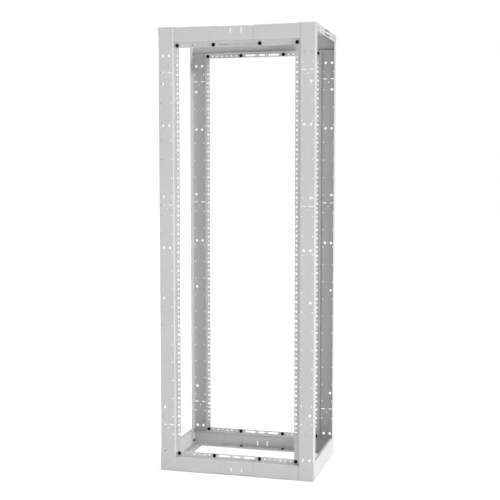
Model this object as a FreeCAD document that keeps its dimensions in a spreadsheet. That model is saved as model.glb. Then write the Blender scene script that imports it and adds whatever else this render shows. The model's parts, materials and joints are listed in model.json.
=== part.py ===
import FreeCAD, Part
import collections
import math
import os

import Sketcher

# Open four-post equipment rack frame, 42 rack units high.
#
# Frame: millimetres, +Z up, +X to the right and +Y to the back as seen from the front.
# The origin is on the floor, in the middle of the frame's footprint.
#
# Every member is one formed sheet. A front and a rear rectangle are each made of two posts and
# two cross beams, and four side rails tie the rectangles together. A cross beam is two half
# beams joined by a splice that nests inside them. Posts, half beams and splices share one
# stepped section: a narrow outer flange, a wide face, a short ledge and a set-back screw flange.

Vec = FreeCAD.Vector
doc = FreeCAD.newDocument("RackFrame")

# ---------------------------------------------------------------- driving dimensions

SHEET_VALUES = {
    # the whole frame
    "overall_width": 762.0,
    "overall_depth": 520.7,
    "overall_height": 2136.6,
    "gauge": 1.9,
    "bend": 1.6,
    # the stepped section, measured from the frame's outer edge
    "outer_flange": 41.3,
    "face_width": 71.4,
    "ledge_depth": 14.3,
    "section_reach": 97.0,
    "screw_line": 88.9,
    "end_notch": 74.0,
    "notch_margin": 1.0,
    # rack units
    "rack_unit": 44.45,
    "unit_base": 136.35,
    "boundary_hole": 11.1,
    "middle_hole": 7.1,
    # face holes of a post
    "face_small_hole": 5.6,
    "face_small_offset": 25.4,
    "face_large_hole": 12.7,
    "face_large_offset": 15.9,
    "face_slot_length": 21.0,
    "face_slot_width": 4.0,
    "face_slot_offset": 19.0,
    # cross beams
    "beam_screw_line": 87.0,
    "half_start": 88.9,
    "half_end_gap": 0.2,
    "tab_height": 60.0,
    "corner_cut": 1.8,
    "splice_half_length": 203.2,
    "hole_pitch": 25.4,
    "inner_bolt": 112.4,
    "long_slot_start": 33.3,
    "long_slot_end": 90.5,
    "centre_slot_half": 15.9,
    "slot_height": 9.0,
    "between_slots_hole": 6.0,
    "between_slots_place": 23.5,
    "key_slot_width": 5.0,
    "key_slot_length": 25.4,
    "key_slot_near": 26.0,
    "key_slot_middle": 113.0,
    "key_slot_far": 192.0,
    "key_slot_height": 24.0,
    # side rails
    "low_rail_height": 88.9,
    "low_rail_lip": 12.7,
    "foot_width": 57.2,
    "foot_hole": 14.3,
    "foot_hole_pitch": 50.8,
    "foot_hole_line": 36.5,
    "high_rail_height": 36.5,
    "high_rail_lip": 88.9,
    "rail_slot_length": 25.4,
    "rail_slot_width": 7.1,
    "rail_slot_place": 190.0,
    "corner_relief": 1.6,
    "rail_setback": 3.5,
    # fasteners
    "shank": 7.9,
    "clearance_hole": 8.7,
    "tapped_hole": 8.0,
    "head_rim": 18.0,
    "head_rim_height": 1.4,
    "head_dome": 14.4,
    "head_height": 4.8,
    "head_round": 3.0,
    "socket_flats": 5.0,
    "socket_depth": 2.6,
    "flange_bolt_place": 20.65,
    "nut_flats": 13.0,
    "nut_height": 7.6,
    "nut_rim": 17.4,
    "nut_rim_height": 1.6,
    "thread_proud": 1.4,
    "shank_short": 0.2,
    # label holder
    "label_length": 93.0,
    "label_height": 22.0,
    "label_rim": 5.0,
    "label_thickness": 1.4,
    "label_recess": 0.5,
    "label_corner": 2.0,
    "label_place": 9.8,
    "label_drop": 17.5,
}

sizes = doc.addObject("Spreadsheet::Sheet", "Sizes")
for row, (alias, number) in enumerate(SHEET_VALUES.items(), start=1):
    sizes.set("A%d" % row, alias)
    sizes.set("B%d" % row, str(number))
    sizes.setAlias("B%d" % row, alias)
doc.recompute()


class Size:
    """A length from the sheet: its number now, and the expression that keeps it bound."""

    def __init__(self, number, text):
        self.number = number
        self.text = text

    def combine(self, other, sign, number):
        return Size(number, "(%s %s %s)" % (self.text, sign, as_size(other).text))

    def __add__(self, other):
        return self.combine(other, "+", self.number + as_size(other).number)

    def __sub__(self, other):
        return self.combine(other, "-", self.number - as_size(other).number)

    def __mul__(self, other):
        return self.combine(other, "*", self.number * as_size(other).number)

    def __truediv__(self, other):
        return self.combine(other, "/", self.number / as_size(other).number)

    def __neg__(self):
        return self * -1


def as_size(value):
    """A plain number becomes a Size, so that both can stand in one formula."""
    return value if isinstance(value, Size) else Size(value, repr(value))


def size(alias):
    return Size(float(sizes.get(alias)), "Sizes." + alias)


ZERO = Size(0.0, "0")
gauge = size("gauge")
bend = size("bend")
outer_bend = bend + gauge
width = size("overall_width")
depth = size("overall_depth")
height = size("overall_height")
unit = size("rack_unit")
unit_base = size("unit_base")
outer_flange = size("outer_flange")
face_width = size("face_width")
ledge_depth = size("ledge_depth")
section_reach = size("section_reach")
screw_line = size("screw_line")
beam_line = size("beam_screw_line")
shank = size("shank")
clearance_hole = size("clearance_hole")
tapped_hole = size("tapped_hole")
bolt_place = size("flange_bolt_place")
middle_hole = size("middle_hole")

# The posts stand just inside the side rails, and each inner layer is one gauge further in.
post_edge = width / 2 - gauge
screw_column = post_edge - screw_line

# Cuts run past the sheet they cut, so that they leave no skin behind.
past = Size(5.0, "5")
through_sheet = gauge + 1

# How close two positions or volumes must be to count as the same.
NEAR = 0.01
SMALLEST_CUT = 0.1

# Directions: up, along the frame's width and along its depth.
UP = Vec(0, 0, 1)
ALONG = Vec(1, 0, 0)
ACROSS = Vec(0, 1, 0)


# ---------------------------------------------------------------- sketch helpers

def origin_part(body, role):
    """The plane or axis of a body's own origin with this role."""
    for feature in body.Origin.OriginFeatures:
        if feature.Role == role:
            return feature
    raise ValueError("no origin feature with the role " + role)


def new_sketch(body, name, role, offset=None):
    """A sketch on one of the body's origin planes, moved along its normal by offset."""
    sketch = body.newObject("Sketcher::SketchObject", name)
    sketch.AttachmentSupport = (origin_part(body, role), [""])
    sketch.MapMode = "FlatFace"
    if offset is not None:
        sketch.setExpression("AttachmentOffset.Base.z", offset.text)
    return sketch


def bind(sketch, kind, size_value, *places):
    """A driving constraint whose value is a formula on the sheet."""
    index = sketch.addConstraint(Sketcher.Constraint(kind, *places, size_value.number))
    sketch.setExpression("Constraints[%d]" % index, size_value.text)


def pin(sketch, geometry, point, x, y):
    """Hold one point of the sketch at x, y from the sketch's origin."""
    for kind, value, axis in (("DistanceX", x, -2), ("DistanceY", y, -1)):
        if value.number == 0.0:
            sketch.addConstraint(Sketcher.Constraint("PointOnObject", geometry, point, axis))
        else:
            bind(sketch, kind, value, -1, 1, geometry, point)


def draw_outline(sketch, corners):
    """A closed polygon through the corners, each an (x, y) pair of sizes."""
    points = [Vec(x.number, y.number, 0) for x, y in corners]
    first = sketch.GeometryCount
    count = len(corners)
    for index in range(count):
        line = Part.LineSegment(points[index], points[(index + 1) % count])
        sketch.addGeometry(line, False)
    for index in range(count):
        following = (index + 1) % count
        joint = Sketcher.Constraint("Coincident", first + index, 2, first + following, 1)
        sketch.addConstraint(joint)
    for index, (x, y) in enumerate(corners):
        pin(sketch, first + index, 1, x, y)


def draw_rectangle(sketch, x_low, x_high, y_low, y_high):
    draw_outline(sketch, [(x_low, y_low), (x_high, y_low), (x_high, y_high), (x_low, y_high)])


def draw_circle(sketch, x, y, diameter):
    circle = Part.Circle(Vec(x.number, y.number, 0), Vec(0, 0, 1), diameter.number / 2)
    index = sketch.addGeometry(circle, False)
    pin(sketch, index, 3, x, y)
    bind(sketch, "Diameter", diameter, index)


def draw_slot(sketch, x, y, length, breadth, upright=False):
    """A round-ended slot centred on x, y. It lies along the sketch's x, or its y if upright."""
    reach = (length - breadth) / 2
    radius = breadth / 2
    turn = math.pi / 2 if upright else 0.0
    ends = []
    for sign, start in ((1, -math.pi / 2), (-1, math.pi / 2)):
        if upright:
            centre = (x, y + reach * sign)
        else:
            centre = (x + reach * sign, y)
        middle = Vec(centre[0].number, centre[1].number, 0)
        circle = Part.Circle(middle, Vec(0, 0, 1), radius.number)
        arc = Part.ArcOfCircle(circle, start + turn, start + turn + math.pi)
        index = sketch.addGeometry(arc, False)
        pin(sketch, index, 3, *centre)
        ends.append(index)
    for begin, finish in (ends, ends[::-1]):
        start = sketch.getPoint(begin, 2)
        stop = sketch.getPoint(finish, 1)
        line = sketch.addGeometry(Part.LineSegment(start, stop), False)
        sketch.addConstraint(Sketcher.Constraint("Tangent", begin, 2, line, 1))
        sketch.addConstraint(Sketcher.Constraint("Tangent", line, 2, finish, 1))
    bind(sketch, "Radius", radius, ends[0])


# ---------------------------------------------------------------- feature helpers

def new_body(name):
    body = doc.addObject("PartDesign::Body", name)
    body.Label = name
    return body


def pad(body, sketch, length, reverse=False, middle=False):
    feature = body.newObject("PartDesign::Pad", sketch.Name + "_pad")
    feature.Profile = sketch
    feature.setExpression("Length", length.text)
    feature.Reversed = reverse
    if middle:
        feature.SideType = "Symmetric"
    doc.recompute()
    return feature


def pocket(body, sketch, length=None):
    """Cut the sketch out of the body, through everything or to a length, on the solid's side."""
    before = body.Shape.Volume
    feature = body.newObject("PartDesign::Pocket", sketch.Name + "_pocket")
    feature.Profile = sketch
    if length is None:
        feature.Type = "ThroughAll"
    else:
        feature.setExpression("Length", length.text)
    doc.recompute()
    if not body.Shape.Volume < before - SMALLEST_CUT:
        feature.Reversed = True
        doc.recompute()
    if not body.Shape.Volume < before - SMALLEST_CUT:
        raise RuntimeError(sketch.Name + " cuts nothing")
    return feature


def repeat(body, feature, role, span, count):
    """Repeat a feature in a straight line along one of the body's axes."""
    before = body.Shape.Volume
    pattern = body.newObject("PartDesign::LinearPattern", feature.Name + "_row")
    pattern.Originals = [feature]
    pattern.Direction = (origin_part(body, role), [""])
    pattern.Reversed = span.number < 0
    pattern.setExpression("Length", span.text if span.number > 0 else (-span).text)
    pattern.Occurrences = count
    body.Tip = pattern
    doc.recompute()
    if not body.Shape.Volume < before - SMALLEST_CUT:
        raise RuntimeError(feature.Name + " repeats nothing")
    return pattern


def edges_through(shape, direction, spots):
    """Names of the straight edges along a direction that pass through one of the spots."""
    names = []
    for index, edge in enumerate(shape.Edges, start=1):
        if not isinstance(edge.Curve, Part.Line):
            continue
        if abs(edge.Curve.Direction.dot(direction)) < 0.999:
            continue
        for spot in spots:
            if (edge.Vertexes[0].Point - spot).cross(direction).Length < NEAR:
                names.append("Edge%d" % index)
    return names


def round_edges(body, name, direction, spots, radius):
    """Fillet the straight edges that run along a direction through the spots."""
    base = body.Tip
    names = edges_through(base.Shape, direction, spots)
    if len(names) != len(spots):
        raise RuntimeError("%s finds %d edges, not %d" % (name, len(names), len(spots)))
    fillet = body.newObject("PartDesign::Fillet", name)
    fillet.Base = (base, names)
    fillet.setExpression("Radius", radius.text)
    doc.recompute()
    return fillet


def form_bends(body, name, direction, outer_spots, inner_spots):
    """Round a folded section: the outside of each bend and the inside of each bend."""
    round_edges(body, name + "_outer_bends", direction, outer_spots, outer_bend)
    round_edges(body, name + "_inner_bends", direction, inner_spots, bend)


def turned(x, y, z, axis=None, angle=0.0):
    """A placement at x, y, z, turned about an axis through its own origin."""
    turn = FreeCAD.Rotation(axis, angle) if axis else FreeCAD.Rotation()
    return FreeCAD.Placement(Vec(x, y, z), turn)


# ---------------------------------------------------------------- posts

# The folded corners of a stepped section, by their place in its list of corners.
OUTER_BENDS = (0, 1, 5)
INNER_BENDS = (7, 6, 2)

# Heights on the post, in rack units above the lowest unit's floor.
LARGE_PAIR_UNITS = (42.0, 34.6, 21.5, -0.8)
LARGE_SINGLE_UNITS = (39.0, 27.0, 16.0, 4.0)
SLOT_PAIR_UNITS = (40.2, 26.1, 2.1)
SLOT_TO_CENTRE_HOLE = 0.4
UNIT_COUNT = 42


def unit_height(units):
    return unit_base + unit * units


def post_section():
    """Corners of a post's section as (across, inward) pairs, from the outer corner round.

    across runs over the face from the outer edge, inward runs from the face into the frame.
    """
    return [
        (ZERO, ZERO),
        (face_width, ZERO),
        (face_width, ledge_depth),
        (section_reach, ledge_depth),
        (section_reach, ledge_depth + gauge),
        (face_width - gauge, ledge_depth + gauge),
        (face_width - gauge, gauge),
        (gauge, gauge),
        (gauge, outer_flange),
        (ZERO, outer_flange),
    ]


def make_post(name, hand):
    """A post standing on its own origin: x across the face, y inward, z up.

    hand is +1 where the screw flange lies towards +x, -1 where it lies towards -x.
    """
    body = new_body(name)
    corners = [(across * hand, inward) for across, inward in post_section()]
    profile = new_sketch(body, name + "_section", "XY_Plane")
    draw_outline(profile, corners)
    pad(body, profile, height)
    spots = [Vec(x.number, y.number, 0) for x, y in corners]
    outer = [spots[index] for index in OUTER_BENDS]
    inner = [spots[index] for index in INNER_BENDS]
    form_bends(body, name, UP, outer, inner)

    # The ledge and the screw flange stop short of both ends, where the beams pass through.
    notch_start = (face_width - gauge - bend - size("notch_margin")) * hand
    notch_end = (section_reach + past) * hand
    for place, offset in (("foot", None), ("head", height)):
        notch = new_sketch(body, "%s_%s_notch" % (name, place), "XY_Plane", offset)
        draw_rectangle(notch, notch_start, notch_end, gauge, ledge_depth + gauge + past)
        pocket(body, notch, size("end_notch"))

    cut_rack_holes(body, name, hand)
    cut_face_holes(body, name, hand)

    # Holes for the side rail bolts, through the outer flange near both ends.
    side = new_sketch(body, name + "_rail_holes", "YZ_Plane")
    for level in (bolt_place, height - bolt_place):
        draw_circle(side, bolt_place, level, clearance_hole)
    pocket(body, side)
    return body


def cut_rack_holes(body, name, hand):
    """Equipment holes in the screw flange: large at unit boundaries, small between them."""
    line = screw_line * hand
    boundary = new_sketch(body, name + "_boundary_hole", "XZ_Plane")
    draw_circle(boundary, line, unit_height(1), size("boundary_hole"))
    cut = pocket(body, boundary)
    repeat(body, cut, "Z_Axis", unit * (UNIT_COUNT - 2), UNIT_COUNT - 1)

    middle = new_sketch(body, name + "_middle_hole", "XZ_Plane")
    draw_circle(middle, line, unit_height(0.5), middle_hole)
    cut = pocket(body, middle)
    repeat(body, cut, "Z_Axis", unit * (UNIT_COUNT - 1), UNIT_COUNT)

    ends = new_sketch(body, name + "_end_holes", "XZ_Plane")
    for units in (0, UNIT_COUNT):
        draw_circle(ends, line, unit_height(units), middle_hole)
    for level in (beam_line, height - beam_line):
        draw_circle(ends, line, level, clearance_hole)
    pocket(body, ends)


def cut_face_holes(body, name, hand):
    """Holes in the wide face, about the face's centre line."""
    middle = face_width / 2
    small = size("face_small_hole")
    large = size("face_large_hole")

    pair = new_sketch(body, name + "_small_pair", "XZ_Plane")
    for side in (1, -1):
        across = (middle + size("face_small_offset") * side) * hand
        draw_circle(pair, across, unit_height(1), small)
    cut = pocket(body, pair)
    repeat(body, cut, "Z_Axis", unit * (UNIT_COUNT - 2), UNIT_COUNT // 2)

    marks = new_sketch(body, name + "_large_holes", "XZ_Plane")
    outer_column = (middle - size("face_large_offset")) * hand
    inner_column = (middle + size("face_large_offset")) * hand
    for units in LARGE_PAIR_UNITS:
        draw_circle(marks, outer_column, unit_height(units), large)
        draw_circle(marks, inner_column, unit_height(units), large)
    for units in LARGE_SINGLE_UNITS:
        draw_circle(marks, outer_column, unit_height(units), large)
    pocket(body, marks)

    slots = new_sketch(body, name + "_face_slots", "XZ_Plane")
    for units in SLOT_PAIR_UNITS:
        for side in (1, -1):
            across = (middle + size("face_slot_offset") * side) * hand
            draw_slot(slots, across, unit_height(units),
                      size("face_slot_length"), size("face_slot_width"))
        centre_level = unit_height(units - SLOT_TO_CENTRE_HOLE)
        draw_circle(slots, middle * hand, centre_level, small)
    pocket(body, slots)


# ---------------------------------------------------------------- cross beams

def beam_section(inset):
    """Corners of a beam member's section, its outer flange lying inset inside the posts' ends.

    They are (y, z) pairs: y inward from its own face, z from its own outer flange. The ledge
    moves in by the same layers as the face does, so that nested members touch.
    """
    face_inset = inset * 2 - gauge
    return [
        (ZERO, ZERO),
        (ZERO, face_width - face_inset),
        (ledge_depth, face_width - face_inset),
        (ledge_depth, section_reach - inset),
        (ledge_depth + gauge, section_reach - inset),
        (ledge_depth + gauge, face_width - face_inset - gauge),
        (gauge, face_width - face_inset - gauge),
        (gauge, gauge),
        (outer_flange - inset, gauge),
        (outer_flange - inset, ZERO),
    ]


def form_beam_bends(body, name, section):
    spots = [Vec(0, y.number, z.number) for y, z in section]
    outer = [spots[index] for index in OUTER_BENDS]
    inner = [spots[index] for index in INNER_BENDS]
    form_bends(body, name, ALONG, outer, inner)


SMALL_HOLE_COUNT = 6


def make_half_beam(name, hand):
    """Half a cross beam: x outward from the frame's middle times hand, y inward, z across."""
    body = new_body(name)
    start = size("half_start")
    end = post_edge - gauge - size("half_end_gap")
    section = beam_section(gauge)
    profile = new_sketch(body, name + "_section", "YZ_Plane", start * hand)
    draw_outline(profile, section)
    pad(body, profile, end - start, reverse=hand < 0)
    form_beam_bends(body, name, section)

    # Past the post's ledge only the face and the ledge run on, behind the post's face.
    trim = new_sketch(body, name + "_trim", "XZ_Plane")
    draw_rectangle(trim, (post_edge - face_width) * hand, (end + past) * hand,
                   face_width - gauge, section_reach + past)
    pocket(body, trim)

    # An end tab turned in from the face lies against the post's outer flange.
    tab = new_sketch(body, name + "_tab", "YZ_Plane", end * hand)
    draw_rectangle(tab, ZERO, outer_flange - gauge, gauge * 2, size("tab_height"))
    pad(body, tab, gauge, reverse=hand > 0)
    inside_corner = Vec((end - gauge).number * hand, gauge.number, 0)
    round_edges(body, name + "_tab_bend", UP, [inside_corner], bend)
    tab_hole = new_sketch(body, name + "_tab_hole", "YZ_Plane", end * hand)
    draw_circle(tab_hole, bolt_place - gauge, bolt_place - gauge, clearance_hole)
    pocket(body, tab_hole, through_sheet)

    # The end corner is cut off aslant, clear of the bend inside the post.
    reach = size("corner_cut") + gauge
    corner = new_sketch(body, name + "_corner_cut", "XY_Plane")
    draw_outline(corner, [
        ((end - reach) * hand, -gauge),
        ((end + gauge) * hand, -gauge),
        ((end + gauge) * hand, reach),
    ])
    pocket(body, corner)

    # The screw line: a bolt at the post, a bolt at the splice, and small holes between.
    line = beam_line - gauge
    bolts = new_sketch(body, name + "_bolt_holes", "XZ_Plane")
    for across in (screw_column, size("inner_bolt")):
        draw_circle(bolts, across * hand, line, clearance_hole)
    pocket(body, bolts)
    small = new_sketch(body, name + "_small_hole", "XZ_Plane")
    pitch = size("hole_pitch")
    draw_circle(small, (size("inner_bolt") + pitch) * hand, line, middle_hole)
    cut = pocket(body, small)
    repeat(body, cut, "X_Axis", pitch * ((SMALL_HOLE_COUNT - 1) * hand), SMALL_HOLE_COUNT)

    # The splice's flange bolt screws into the outer flange.
    tapped = new_sketch(body, name + "_tapped_hole", "XY_Plane")
    draw_circle(tapped, size("inner_bolt") * hand, bolt_place - gauge, tapped_hole)
    pocket(body, tapped, through_sheet)
    return body


def make_splice(name):
    """The middle piece of a cross beam, nested inside both halves, centred on x = 0."""
    body = new_body(name)
    inset = gauge * 2
    half = size("splice_half_length")
    section = beam_section(inset)
    profile = new_sketch(body, name + "_section", "YZ_Plane")
    draw_outline(profile, section)
    pad(body, profile, half * 2, middle=True)
    form_beam_bends(body, name, section)

    # Slots and holes along the screw line.
    line = beam_line - inset
    slots = new_sketch(body, name + "_line_slots", "XZ_Plane")
    slot_start = size("long_slot_start")
    slot_end = size("long_slot_end")
    pitch = size("hole_pitch")
    for side in (1, -1):
        middle = (slot_start + slot_end) / 2 * side
        draw_slot(slots, middle, line, slot_end - slot_start, size("slot_height"))
        draw_circle(slots, size("between_slots_place") * side, line, size("between_slots_hole"))
        draw_circle(slots, size("inner_bolt") * side, line, clearance_hole)
        for step in (1, 2, 3):
            draw_circle(slots, (size("inner_bolt") + pitch * step) * side, line, middle_hole)
    draw_slot(slots, ZERO, line, size("centre_slot_half") * 2, size("slot_height"))
    pocket(body, slots)

    # Upright key slots in the face, three to each side.
    keys = new_sketch(body, name + "_key_slots", "XZ_Plane")
    level = size("key_slot_height") - inset
    for side in (1, -1):
        for place in ("key_slot_near", "key_slot_middle", "key_slot_far"):
            draw_slot(keys, size(place) * side, level,
                      size("key_slot_length"), size("key_slot_width"), upright=True)
    pocket(body, keys)

    flange = new_sketch(body, name + "_flange_holes", "XY_Plane")
    for side in (1, -1):
        draw_circle(flange, size("inner_bolt") * side, bolt_place - inset, clearance_hole)
    pocket(body, flange, through_sheet)
    return body


# ---------------------------------------------------------------- side rails

def make_side_rail(name, rail_height, far_lip, near_lip):
    """A side rail: x inward from its outer face, y along the frame's depth, z across.

    near_lip is the inward flange at z = 0 and far_lip the one at the other edge.
    """
    body = new_body(name)
    corners = [(ZERO, ZERO), (near_lip, ZERO), (near_lip, gauge), (gauge, gauge)]
    outer = [(ZERO, ZERO)]
    inner = [(gauge, gauge)]
    if far_lip is None:
        corners += [(gauge, rail_height), (ZERO, rail_height)]
    else:
        corners += [(gauge, rail_height - gauge), (far_lip, rail_height - gauge)]
        corners += [(far_lip, rail_height), (ZERO, rail_height)]
        outer.append((ZERO, rail_height))
        inner.append((gauge, rail_height - gauge))
    profile = new_sketch(body, name + "_section", "XZ_Plane")
    draw_outline(profile, corners)
    pad(body, profile, depth - size("rail_setback") * 2, middle=True)
    outer_spots = [Vec(x.number, 0, z.number) for x, z in outer]
    inner_spots = [Vec(x.number, 0, z.number) for x, z in inner]
    form_bends(body, name, ACROSS, outer_spots, inner_spots)

    # Both lips stop short of the posts' outer flanges, and the near lip clears their faces.
    relief = size("corner_relief")
    flange_start = depth / 2 - outer_flange - relief
    face_start = depth / 2 - gauge - relief
    ends = new_sketch(body, name + "_end_cuts", "XY_Plane")
    for side in (1, -1):
        draw_rectangle(ends, gauge, gauge * 2 + relief,
                       flange_start * side, (depth / 2 + past) * side)
        draw_rectangle(ends, gauge * 2 + relief, near_lip + past,
                       face_start * side, (depth / 2 + past) * side)
    pocket(body, ends)
    if far_lip is not None:
        lip = new_sketch(body, name + "_lip_cuts", "XY_Plane", rail_height)
        for side in (1, -1):
            draw_rectangle(lip, gauge * 2 + relief, far_lip + past,
                           flange_start * side, (depth / 2 + past) * side)
        pocket(body, lip, outer_bend)

    tapped = new_sketch(body, name + "_tapped_holes", "YZ_Plane")
    for side in (1, -1):
        draw_circle(tapped, (depth / 2 - bolt_place) * side, bolt_place, tapped_hole)
    pocket(body, tapped, through_sheet)
    return body


FOOT_HOLE_COUNT = 9


def cut_foot_holes(body, name):
    """A row of anchor holes along the foot of a low rail."""
    foot = new_sketch(body, name + "_foot_hole", "XY_Plane")
    pitch = size("foot_hole_pitch")
    row_length = pitch * (FOOT_HOLE_COUNT - 1)
    draw_circle(foot, size("foot_hole_line"), row_length / -2, size("foot_hole"))
    cut = pocket(body, foot, through_sheet)
    repeat(body, cut, "Y_Axis", row_length, FOOT_HOLE_COUNT)


def cut_wall_slots(body, name):
    """A short slot near each end of a high rail's wall."""
    slots = new_sketch(body, name + "_wall_slots", "YZ_Plane")
    for side in (1, -1):
        draw_slot(slots, size("rail_slot_place") * side, bolt_place,
                  size("rail_slot_length"), size("rail_slot_width"))
    pocket(body, slots, through_sheet)


# ---------------------------------------------------------------- fasteners

def make_bolt_pattern_piece(name, under_head):
    """One bolt along z: its head stands on z = 0 and its shank reaches under_head below."""
    body = new_body(name)
    profile = new_sketch(body, name + "_section", "XZ_Plane")
    rim = size("head_rim") / 2
    rim_height = size("head_rim_height")
    dome = size("head_dome") / 2
    head_height = size("head_height")
    draw_outline(profile, [
        (ZERO, -under_head),
        (shank / 2, -under_head),
        (shank / 2, ZERO),
        (rim, ZERO),
        (rim, rim_height),
        (dome, rim_height),
        (dome, head_height),
        (ZERO, head_height),
    ])
    turn = body.newObject("PartDesign::Revolution", name + "_turned")
    turn.Profile = profile
    turn.ReferenceAxis = (profile, ["V_Axis"])
    doc.recompute()
    crown = body.newObject("PartDesign::Fillet", name + "_crown")
    crown.Base = (turn, circle_edges(turn.Shape, head_height.number, dome.number))
    crown.setExpression("Radius", size("head_round").text)
    doc.recompute()
    socket = new_sketch(body, name + "_socket", "XY_Plane", head_height)
    draw_hexagon(socket, size("socket_flats"))
    pocket(body, socket, size("socket_depth"))
    return body


def make_nut_pattern_piece(name):
    """One flange nut along z, standing on z = 0 with its rim down."""
    body = new_body(name)
    hexagon = new_sketch(body, name + "_hexagon", "XY_Plane")
    draw_hexagon(hexagon, size("nut_flats"))
    pad(body, hexagon, size("nut_height"))
    rim = new_sketch(body, name + "_rim", "XY_Plane")
    draw_circle(rim, ZERO, ZERO, size("nut_rim"))
    pad(body, rim, size("nut_rim_height"))
    bore = new_sketch(body, name + "_bore", "XY_Plane")
    draw_circle(bore, ZERO, ZERO, tapped_hole)
    pocket(body, bore)
    return body


def draw_hexagon(sketch, flats):
    """A regular hexagon about the sketch's origin, flats apart across its flats."""
    corner = flats / math.sqrt(3.0)
    half = flats / 2
    draw_outline(sketch, [
        (corner, ZERO),
        (corner / 2, half),
        (-corner / 2, half),
        (-corner, ZERO),
        (-corner / 2, -half),
        (corner / 2, -half),
    ])


def circle_edges(shape, level, radius):
    """Names of the circular edges at a height and of a radius."""
    names = []
    for index, edge in enumerate(shape.Edges, start=1):
        if not isinstance(edge.Curve, Part.Circle):
            continue
        at_level = abs(edge.Curve.Center.z - level) < NEAR
        if at_level and abs(edge.Curve.Radius - radius) < NEAR:
            names.append("Edge%d" % index)
    return names


def make_group(name, pattern_piece, placements):
    """Separate copies of one fastener, as one node."""
    copies = []
    for placement in placements:
        copy = pattern_piece.Shape.copy()
        copy.Placement = placement.multiply(copy.Placement)
        copies.append(copy)
    group = doc.addObject("Part::Feature", name)
    group.Shape = Part.makeCompound(copies)
    group.Label = name
    return group


# ---------------------------------------------------------------- label holder

def rounded_plate(body, name, length, tall, thickness, corner):
    """A plate in the x = 0 plane, growing towards +x, with rounded corners."""
    sketch = new_sketch(body, name + "_outline", "YZ_Plane")
    draw_rectangle(sketch, -length / 2, length / 2, -tall / 2, tall / 2)
    pad(body, sketch, thickness)
    spots = []
    for y_side in (1, -1):
        for z_side in (1, -1):
            spots.append(Vec(0, length.number / 2 * y_side, tall.number / 2 * z_side))
    round_edges(body, name + "_corners", ALONG, spots, corner)


def make_label_holder():
    """A dark frame with a shallow window for a blank label."""
    body = new_body("label_holder")
    length = size("label_length")
    tall = size("label_height")
    rim = size("label_rim")
    rounded_plate(body, "label_holder", length, tall, size("label_thickness"),
                  size("label_corner"))
    window = new_sketch(body, "label_window", "YZ_Plane")
    draw_rectangle(window, -length / 2 + rim, length / 2 - rim, -tall / 2 + rim, tall / 2 - rim)
    pocket(body, window)
    return body


def make_label_blank():
    """The plain plate that fills the holder's window."""
    body = new_body("label_blank")
    rim = size("label_rim")
    sketch = new_sketch(body, "label_blank_outline", "YZ_Plane")
    length = size("label_length") - rim * 2
    tall = size("label_height") - rim * 2
    draw_rectangle(sketch, -length / 2, length / 2, -tall / 2, tall / 2)
    pad(body, sketch, size("label_thickness") - size("label_recess"))
    return body


# ---------------------------------------------------------------- build and place the pieces

half_depth = depth.number / 2
full_height = height.number
layer = gauge.number
pieces = []


def keep(piece, placement=None):
    """Place a finished piece and list it for export."""
    if placement is not None:
        piece.Placement = placement
    pieces.append(piece)
    return piece


# A member of the rear frame is the front one turned half round about z. Turning swaps its hand.
keep(make_post("front_left_post", 1), turned(-post_edge.number, -half_depth, 0))
keep(make_post("front_right_post", -1), turned(post_edge.number, -half_depth, 0))
keep(make_post("rear_left_post", -1), turned(-post_edge.number, half_depth, 0, UP, 180))
keep(make_post("rear_right_post", 1), turned(post_edge.number, half_depth, 0, UP, 180))

# Each beam is the front bottom one, turned half round about an axis through the frame's middle.
# swaps says whether the turn exchanges left and right.
Beam = collections.namedtuple("Beam", "side at_top axis swaps")
BEAMS = {
    "front_bottom": Beam(-1, False, None, False),
    "rear_bottom": Beam(1, False, UP, True),
    "front_top": Beam(-1, True, ACROSS, True),
    "rear_top": Beam(1, True, ALONG, False),
}


def beam_placement(beam, inset):
    """Where a beam member nested this far inside the posts' faces sits."""
    y = beam.side * (half_depth - inset)
    z = full_height - inset if beam.at_top else inset
    return turned(0, y, z, beam.axis, 180 if beam.axis else 0)


for where, beam in BEAMS.items():
    for direction, word in ((-1, "left"), (1, "right")):
        hand = -direction if beam.swaps else direction
        half = make_half_beam("%s_beam_%s_half" % (where, word), hand)
        keep(half, beam_placement(beam, layer))
    keep(make_splice(where + "_beam_splice"), beam_placement(beam, layer * 2))

low_height = size("low_rail_height")
for side, word in ((-1, "left"), (1, "right")):
    low_name = word + "_bottom_rail"
    low = make_side_rail(low_name, low_height, size("low_rail_lip"), size("foot_width"))
    cut_foot_holes(low, low_name)
    keep(low, turned(side * width.number / 2, 0, 0, UP, 180 if side > 0 else 0))
    high_name = word + "_top_rail"
    high = make_side_rail(high_name, size("high_rail_height"), None, size("high_rail_lip"))
    cut_wall_slots(high, high_name)
    turn_axis = ALONG if side < 0 else ACROSS
    keep(high, turned(side * width.number / 2, 0, full_height, turn_axis, 180))

# Fastener pattern pieces: they only give their shapes to the groups below.
through_length = gauge * 2 + size("nut_height") + size("thread_proud")
through_bolt = make_bolt_pattern_piece("through_bolt", through_length)
rail_bolt = make_bolt_pattern_piece("rail_bolt", gauge * 3 - size("shank_short"))
splice_bolt = make_bolt_pattern_piece("splice_bolt", gauge * 2 - size("shank_short"))
flange_nut = make_nut_pattern_piece("flange_nut")

FACING_FRONT = FreeCAD.Rotation(ALONG, 90)
FACING_BACK = FreeCAD.Rotation(ALONG, -90)
FACING_DOWN = FreeCAD.Rotation(ALONG, 180)
FACING_UP = FreeCAD.Rotation()
FACING_RIGHT = FreeCAD.Rotation(ACROSS, 90)
FACING_LEFT = FreeCAD.Rotation(ACROSS, -90)

column = screw_column.number
inner = size("inner_bolt").number
line_height = beam_line.number
flange_front = ledge_depth.number
bolt_in = bolt_place.number

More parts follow.
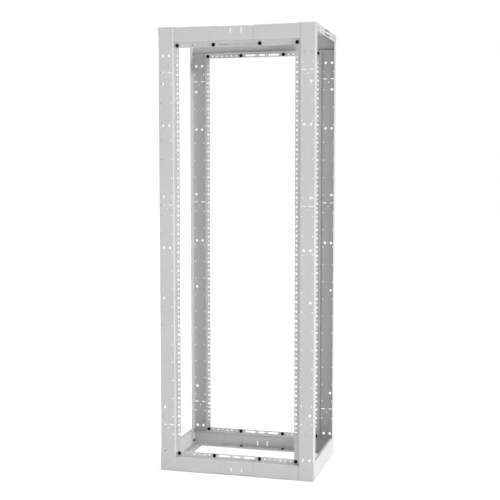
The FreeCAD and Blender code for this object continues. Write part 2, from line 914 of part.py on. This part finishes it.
for where, beam in BEAMS.items():
    level = full_height - line_height if beam.at_top else line_height
    outward = FACING_FRONT if beam.side < 0 else FACING_BACK
    inward = FACING_BACK if beam.side < 0 else FACING_FRONT
    bolt_spots = []
    nut_spots = []
    for x, first_layer in ((-column, 0), (-inner, 1), (inner, 1), (column, 0)):
        seat = half_depth - flange_front - layer * first_layer
        bolt_spots.append(FreeCAD.Placement(Vec(x, beam.side * seat, level), outward))
        back = seat - layer * 2
        nut_spots.append(FreeCAD.Placement(Vec(x, beam.side * back, level), inward))
    keep(make_group(where + "_bolts", through_bolt, bolt_spots))
    keep(make_group(where + "_nuts", flange_nut, nut_spots))

    flange_level = full_height - layer * 3 if beam.at_top else layer * 3
    facing = FACING_DOWN if beam.at_top else FACING_UP
    flange_spots = []
    for x in (-inner, inner):
        spot = Vec(x, beam.side * (half_depth - bolt_in), flange_level)
        flange_spots.append(FreeCAD.Placement(spot, facing))
    keep(make_group(where + "_splice_bolts", splice_bolt, flange_spots))

tab_face = post_edge.number - layer * 2 - size("half_end_gap").number
for word, side in (("left", -1), ("right", 1)):
    for edge, level in (("bottom", bolt_in), ("top", full_height - bolt_in)):
        spots = []
        for y in (-half_depth + bolt_in, half_depth - bolt_in):
            facing = FACING_RIGHT if side < 0 else FACING_LEFT
            spots.append(FreeCAD.Placement(Vec(side * tab_face, y, level), facing))
        keep(make_group("%s_%s_rail_bolts" % (word, edge), rail_bolt, spots))

label_x = width.number / 2
label_z = full_height - size("label_drop").number
label_spot = turned(label_x, size("label_place").number, label_z)
keep(make_label_holder(), label_spot)
keep(make_label_blank(), label_spot)

# ---------------------------------------------------------------- check and write

doc.recompute()
for item in doc.Objects:
    if "Invalid" in item.State or "Error" in item.State:
        raise RuntimeError("%s did not rebuild: %s" % (item.Label, item.State))
for piece in pieces:
    if piece.Shape.isNull() or not piece.Shape.isValid():
        raise RuntimeError(piece.Label + " has no valid shape")

os.makedirs("parts", exist_ok=True)
for piece in pieces:
    piece.Shape.exportStep("parts/%s.step" % piece.Label)

box = Part.makeCompound([piece.Shape for piece in pieces]).BoundBox
print("%d nodes, box %.1f x %.1f x %.1f mm" % (len(pieces), box.XLength, box.YLength, box.ZLength))
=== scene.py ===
import json
import math

import bpy
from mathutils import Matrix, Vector

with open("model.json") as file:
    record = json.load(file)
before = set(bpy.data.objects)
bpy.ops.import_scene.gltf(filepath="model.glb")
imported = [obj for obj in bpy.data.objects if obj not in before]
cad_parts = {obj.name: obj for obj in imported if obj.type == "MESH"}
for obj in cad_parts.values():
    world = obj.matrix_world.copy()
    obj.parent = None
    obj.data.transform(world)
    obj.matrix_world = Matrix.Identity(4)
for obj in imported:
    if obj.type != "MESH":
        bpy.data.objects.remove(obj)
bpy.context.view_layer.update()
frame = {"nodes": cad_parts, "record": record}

# Lengths are metres, and colours are linear red, green and blue.

# ---------------------------------------------------------------- node helpers

BEVEL_SAMPLES = 4


def new_material(name):
    """A material with its shader, and the coordinates of the piece's own mesh."""
    material = bpy.data.materials.new(name)
    material.use_nodes = True
    tree = material.node_tree
    shader = tree.nodes["Principled BSDF"]
    coords = tree.nodes.new("ShaderNodeTexCoord").outputs["Object"]
    return material, tree, shader, coords


def noise(tree, coords, scale, detail, stretch=None):
    """A noise pattern from about 0 to 1. stretch scales it differently along x, y and z."""
    source = coords
    if stretch is not None:
        mapping = tree.nodes.new("ShaderNodeMapping")
        mapping.inputs["Scale"].default_value = stretch
        tree.links.new(coords, mapping.inputs["Vector"])
        source = mapping.outputs["Vector"]
    node = tree.nodes.new("ShaderNodeTexNoise")
    node.inputs["Scale"].default_value = scale
    node.inputs["Detail"].default_value = detail
    tree.links.new(source, node.inputs["Vector"])
    return node.outputs["Fac"]


def spread(tree, value, low, high, out_low=0.0, out_high=1.0):
    """Moves value from the range low..high to out_low..out_high, and keeps it inside."""
    node = tree.nodes.new("ShaderNodeMapRange")
    node.inputs["From Min"].default_value = low
    node.inputs["From Max"].default_value = high
    node.inputs["To Min"].default_value = out_low
    node.inputs["To Max"].default_value = out_high
    tree.links.new(value, node.inputs["Value"])
    return node.outputs["Result"]


def combine(tree, operation, first, second):
    """Math on two values, each a socket or a number."""
    node = tree.nodes.new("ShaderNodeMath")
    node.operation = operation
    for socket, value in zip(node.inputs, (first, second)):
        if isinstance(value, (int, float)):
            socket.default_value = value
        else:
            tree.links.new(value, socket)
    return node.outputs["Value"]


def blend_colours(tree, share, first, second):
    """first where share is 0 and second where it is 1, each a socket or a colour."""
    node = tree.nodes.new("ShaderNodeMix")
    node.data_type = "RGBA"
    tree.links.new(share, node.inputs["Factor"])
    for socket, value in zip((node.inputs["A"], node.inputs["B"]), (first, second)):
        if isinstance(value, tuple):
            socket.default_value = (*value, 1.0)
        else:
            tree.links.new(value, socket)
    return node.outputs["Result"]


def mottled(tree, coords, scale, detail, low, high, dark, light):
    """A colour that wanders between dark and light in soft patches."""
    patches = spread(tree, noise(tree, coords, scale, detail), low, high)
    return blend_colours(tree, patches, dark, light)


def edge_share(tree, radius, low, high):
    """0 on open surface and 1 along edges: how far a rounded normal leans from the true one."""
    bevel = tree.nodes.new("ShaderNodeBevel")
    bevel.samples = BEVEL_SAMPLES
    bevel.inputs["Radius"].default_value = radius
    geometry = tree.nodes.new("ShaderNodeNewGeometry")
    dot = tree.nodes.new("ShaderNodeVectorMath")
    dot.operation = "DOT_PRODUCT"
    tree.links.new(bevel.outputs["Normal"], dot.inputs[0])
    tree.links.new(geometry.outputs["Normal"], dot.inputs[1])
    lean = combine(tree, "SUBTRACT", 1.0, dot.outputs["Value"])
    return spread(tree, lean, low, high)


def patchy_wear(tree, coords, edges, scale, detail, low, high, most):
    """Wear along edges, broken up into patches. most is the value it never passes."""
    patches = spread(tree, noise(tree, coords, scale, detail), low, high)
    return combine(tree, "MULTIPLY", combine(tree, "MULTIPLY", edges, patches), most)


def rough_surface(tree, shader, height, distance, strength):
    """Drives the shader's normal from a height pattern."""
    bump = tree.nodes.new("ShaderNodeBump")
    bump.inputs["Strength"].default_value = strength
    bump.inputs["Distance"].default_value = distance
    tree.links.new(height, bump.inputs["Height"])
    tree.links.new(bump.outputs["Normal"], shader.inputs["Normal"])


# ---------------------------------------------------------------- materials

COAT_DARK = (0.437, 0.438, 0.434)
COAT_LIGHT = (0.461, 0.461, 0.457)
COAT_SPECK = (0.38, 0.38, 0.378)
COAT_SMEAR = (0.40, 0.40, 0.394)
COAT_WORN = (0.54, 0.54, 0.532)
COAT_POLISH = 0.3
UPRIGHT_STREAKS = (1.0, 1.0, 0.18)

OXIDE_DARK = (0.0035, 0.0035, 0.004)
OXIDE_BROWN = (0.007, 0.0066, 0.0063)
OXIDE_WORN = (0.04, 0.04, 0.041)
OXIDE_WORN_METAL = 0.8
OXIDE_SPECULAR = 0.12

RIM_DARK = (0.008, 0.008, 0.009)
RIM_LIGHT = (0.013, 0.013, 0.014)
RIM_WORN = (0.035, 0.035, 0.036)
RIM_ROUGHNESS = 0.6
LABEL_DARK = (0.62, 0.62, 0.62)
LABEL_LIGHT = (0.68, 0.68, 0.675)
LABEL_WORN = (0.74, 0.74, 0.74)
LABEL_ROUGHNESS = 0.42
PLASTIC_WEAR = 0.5
PLASTIC_ROUGHNESS_SWING = 0.06


def powder_coat():
    """Light grey powder coat: fine orange peel, faint mottling, thin paler wear on edges."""
    material, tree, shader, coords = new_material("powder_coat")

    coat = mottled(tree, coords, scale=3.0, detail=3.0, low=0.3, high=0.7,
                   dark=COAT_DARK, light=COAT_LIGHT)
    dust = noise(tree, coords, scale=900.0, detail=1.0)
    specks = spread(tree, dust, low=0.62, high=0.72, out_high=0.35)
    coat = blend_colours(tree, specks, coat, COAT_SPECK)
    streaks = noise(tree, coords, scale=9.0, detail=4.0, stretch=UPRIGHT_STREAKS)
    smears = spread(tree, streaks, low=0.58, high=0.75, out_high=0.25)
    coat = blend_colours(tree, smears, coat, COAT_SMEAR)
    edges = edge_share(tree, radius=0.0012, low=0.03, high=0.22)
    wear = patchy_wear(tree, coords, edges, scale=60.0, detail=3.0, low=0.42, high=0.62, most=0.35)
    coat = blend_colours(tree, wear, coat, COAT_WORN)
    tree.links.new(coat, shader.inputs["Base Color"])

    grain = noise(tree, coords, scale=420.0, detail=3.0)
    rough = spread(tree, grain, low=0.3, high=0.7, out_low=0.44, out_high=0.56)
    rough = combine(tree, "SUBTRACT", rough, combine(tree, "MULTIPLY", wear, COAT_POLISH))
    tree.links.new(rough, shader.inputs["Roughness"])

    peel = noise(tree, coords, scale=700.0, detail=2.0)
    rough_surface(tree, shader, peel, distance=0.0002, strength=0.22)
    return material


def black_oxide():
    """Black finished bolts and nuts: brownish mottling and bare steel showing at the edges."""
    material, tree, shader, coords = new_material("black_oxide")

    coat = mottled(tree, coords, scale=160.0, detail=3.0, low=0.35, high=0.65,
                   dark=OXIDE_DARK, light=OXIDE_BROWN)
    edges = edge_share(tree, radius=0.0006, low=0.02, high=0.2)
    wear = patchy_wear(tree, coords, edges, scale=320.0, detail=3.0, low=0.4, high=0.6, most=0.5)
    coat = blend_colours(tree, wear, coat, OXIDE_WORN)
    tree.links.new(coat, shader.inputs["Base Color"])

    grain = noise(tree, coords, scale=500.0, detail=2.0)
    rough = spread(tree, grain, low=0.3, high=0.7, out_low=0.5, out_high=0.64)
    tree.links.new(rough, shader.inputs["Roughness"])
    metal = combine(tree, "MULTIPLY", wear, OXIDE_WORN_METAL)
    tree.links.new(metal, shader.inputs["Metallic"])
    shader.inputs["Specular IOR Level"].default_value = OXIDE_SPECULAR

    pits = noise(tree, coords, scale=1400.0, detail=2.0)
    rough_surface(tree, shader, pits, distance=0.0001, strength=0.2)
    return material


def moulded_plastic(name, dark, light, worn, roughness):
    """Fine matt plastic: faint mottling, a moulded grain and slightly polished edges."""
    material, tree, shader, coords = new_material(name)

    colour = mottled(tree, coords, scale=40.0, detail=3.0, low=0.3, high=0.7,
                     dark=dark, light=light)
    edges = edge_share(tree, radius=0.0005, low=0.03, high=0.25)
    wear = combine(tree, "MULTIPLY", edges, PLASTIC_WEAR)
    colour = blend_colours(tree, wear, colour, worn)
    tree.links.new(colour, shader.inputs["Base Color"])

    grain = noise(tree, coords, scale=900.0, detail=3.0)
    rough = spread(tree, grain, low=0.3, high=0.7,
                   out_low=roughness - PLASTIC_ROUGHNESS_SWING,
                   out_high=roughness + PLASTIC_ROUGHNESS_SWING)
    tree.links.new(rough, shader.inputs["Roughness"])
    rough_surface(tree, shader, grain, distance=0.0001, strength=0.3)
    return material


FINISHES = {
    "frame_coat": powder_coat(),
    "black_fastener": black_oxide(),
    "label_rim": moulded_plastic("label_rim_plastic", RIM_DARK, RIM_LIGHT, RIM_WORN,
                                 RIM_ROUGHNESS),
    "label_face": moulded_plastic("label_plate", LABEL_DARK, LABEL_LIGHT, LABEL_WORN,
                                  LABEL_ROUGHNESS),
}

# ---------------------------------------------------------------- CAD pieces

for part in frame["record"]["subparts"]:
    piece = frame["nodes"][part["node"]]
    piece.data.materials.clear()
    piece.data.materials.append(FINISHES[part["material_slot"]])

# ---------------------------------------------------------------- floor and surround

WHITE = (1.0, 1.0, 1.0, 1.0)
FLOOR_SIZE = 60.0
FLOOR_DROP = 0.0005
FLOOR_DARK = (0.90, 0.90, 0.90)
FLOOR_LIGHT = (0.92, 0.92, 0.92)
FLOOR_ROUGHNESS = 0.9
FLOOR_GLOW = 0.15


def stage_material():
    """A plain pale floor, with a faint even mottle and a slight glow that keeps it white."""
    material, tree, shader, coords = new_material("floor_paint")
    colour = mottled(tree, coords, scale=1.5, detail=2.0, low=0.3, high=0.7,
                     dark=FLOOR_DARK, light=FLOOR_LIGHT)
    tree.links.new(colour, shader.inputs["Base Color"])
    shader.inputs["Roughness"].default_value = FLOOR_ROUGHNESS
    shader.inputs["Emission Color"].default_value = WHITE
    shader.inputs["Emission Strength"].default_value = FLOOR_GLOW
    return material


def studio_world(seen, lighting):
    """A white surround: how bright it is seen, and how much it lights the frame."""
    world = bpy.data.worlds.new("studio")
    world.use_nodes = True
    tree = world.node_tree
    path = tree.nodes.new("ShaderNodeLightPath")
    strength = spread(tree, path.outputs["Is Camera Ray"], low=0.0, high=1.0,
                      out_low=lighting, out_high=seen)
    tree.nodes["Background"].inputs["Color"].default_value = WHITE
    tree.links.new(strength, tree.nodes["Background"].inputs["Strength"])
    bpy.context.scene.world = world


# The floor lies just under the frame, so that the two share no plane.
bpy.ops.mesh.primitive_plane_add(size=FLOOR_SIZE, location=(0.0, 0.0, -FLOOR_DROP))
floor = bpy.context.object
floor.name = "floor"
floor.data.materials.append(stage_material())

bpy.context.scene.view_settings.view_transform = "Standard"
studio_world(seen=1.0, lighting=0.0)

# ---------------------------------------------------------------- lights

OVERHEAD = (0.0, 0.0, 6.0)
FLOOR_MIDDLE = (0.0, 0.0, 0.0)
FRAME_MIDDLE = (0.0, 0.0, 1.1)
SOFT_BOXES = {
    "key_back": {"degrees": 105.0, "distance": 5.0, "height": 1.6, "side": 2.4, "power": 60.0},
    "key_front": {"degrees": 50.0, "distance": 5.0, "height": 2.0, "side": 1.6, "power": 20.0},
    "front_fill": {"degrees": 0.0, "distance": 5.5, "height": 2.2, "side": 2.4, "power": 80.0},
    "left_fill": {"degrees": -60.0, "distance": 5.0, "height": 1.8, "side": 2.4, "power": 15.0},
}


def add_light(name, kind, place, aim, **settings):
    """A soft lamp at place, facing aim."""
    lamp = bpy.data.lights.new(name, kind)
    for key, value in settings.items():
        setattr(lamp, key, value)
    holder = bpy.data.objects.new(name, lamp)
    bpy.context.scene.collection.objects.link(holder)
    holder.location = place
    holder.rotation_euler = (Vector(aim) - Vector(place)).to_track_quat("-Z", "Y").to_euler()


def around(degrees, distance, height):
    """A place this many degrees to the right of the front, at this distance from the axis."""
    turn = math.radians(degrees)
    return (distance * math.sin(turn), -distance * math.cos(turn), height)


add_light("overhead", "SUN", OVERHEAD, FLOOR_MIDDLE, energy=3.0, angle=math.radians(70))
add_light("key", "SUN", around(degrees=76.0, distance=5.0, height=1.9), FRAME_MIDDLE,
          energy=2.4, angle=math.radians(6))
for name, box in SOFT_BOXES.items():
    place = around(box["degrees"], box["distance"], box["height"])
    add_light(name, "AREA", place, FRAME_MIDDLE,
              energy=box["power"], shape="SQUARE", size=box["side"])

# ---------------------------------------------------------------- camera

# Fitted to the photo's hole columns. The angles are radians.
CAMERA_PLACE = (1.31836, -4.94098, 1.47068)
CAMERA_TILT_DOWN = 0.07855
CAMERA_TURN_LEFT = 0.26067
SENSOR_WIDTH_MM = 36.0
LENS_MM = 74.43

camera_data = bpy.data.cameras.new("camera")
camera = bpy.data.objects.new("camera", camera_data)
bpy.context.scene.collection.objects.link(camera)
camera.location = CAMERA_PLACE
camera.rotation_euler = (math.pi / 2 - CAMERA_TILT_DOWN, 0.0, CAMERA_TURN_LEFT)
camera_data.sensor_width = SENSOR_WIDTH_MM
camera_data.lens = LENS_MM
bpy.context.scene.camera = camera
